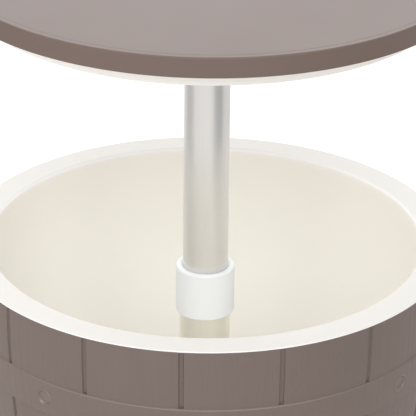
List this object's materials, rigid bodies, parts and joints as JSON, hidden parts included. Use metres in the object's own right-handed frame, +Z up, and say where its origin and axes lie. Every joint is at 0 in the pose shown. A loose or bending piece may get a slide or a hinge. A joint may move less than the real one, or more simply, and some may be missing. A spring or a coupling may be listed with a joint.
{
  "type": "cooler table with lid",
  "caption": "Round resin patio table on a staved half-barrel drinks tub; its top is the tub's lid, rises on a telescoping pole and locks with a twist.",
  "frame": {"origin": "on the floor, under the pole", "axes": "+X right, +Y away from the viewer, +Z up along the pole; the table top is raised at rest"},
  "size_m": [0.4949, 0.495, 0.8245],
  "materials": {
    "stave_resin": "warm grey resin with a fine moulded wood grain",
    "top_resin": "warm grey resin, satin, lightly textured",
    "cream_resin": "cream resin, satin",
    "white_nylon": "white nylon, fine moulded texture",
    "dark_nylon": "black nylon",
    "satin_aluminium": "satin anodised, drawn lengthwise",
    "zinc_steel": "zinc plated",
    "soft_rubber": "dark grey rubber"
  },
  "bodies": {
    "tub": {"outer_shell": "stave_resin", "inner_liner": "cream_resin", "pole_seal": "soft_rubber", "outer_tube": "satin_aluminium", "tube_foot_plug": "dark_nylon", "pole_bolt": "zinc_steel", "pole_washer": "zinc_steel", "guide_collar": "white_nylon", "leg_back_right": "stave_resin", "leg_back_left": "stave_resin", "leg_front_left": "stave_resin", "leg_front_right": "stave_resin", "leg_screws": "zinc_steel", "foot_pads": "soft_rubber", "drain_gasket": "soft_rubber", "drain_body": "white_nylon", "drain_nut": "white_nylon"},
    "lock": {"lock_sleeve": "white_nylon"},
    "wedge": {"lock_wedge": "dark_nylon"},
    "table_top": {"inner_tube": "satin_aluminium", "lock_stud": "dark_nylon", "stud_nut": "zinc_steel", "lid_hub": "cream_resin", "hub_pin": "zinc_steel", "lid_top": "top_resin", "lid_underside": "cream_resin", "lid_screws": "zinc_steel", "hub_screws": "zinc_steel"},
    "drain_stopper": {"drain_plug": "soft_rubber"}
  },
  "joints": [
    {"name": "lid_lift", "type": "slide", "parent": "tub", "child": "lock", "axis": [0, 0, 1], "range_m": [-0.2528, 0]},
    {"name": "lid_twist", "type": "hinge", "parent": "lock", "child": "table_top", "pos_m": [0, 0, 0.44], "axis": [0, 0, 1], "range_deg": [0, 180]},
    {"name": "wedge_draw", "type": "slide", "parent": "lock", "child": "wedge", "axis": [0, 0, -1], "range_m": [0, 0.00101]},
    {"name": "drain_pull", "type": "slide", "parent": "tub", "child": "drain_stopper", "axis": [0, 0, -1], "range_m": [0, 0.034]}
  ],
  "couplings": [
    {"joint": "wedge_draw", "follows": "lid_twist", "m_per_rad": 0.00031831}
  ]
}
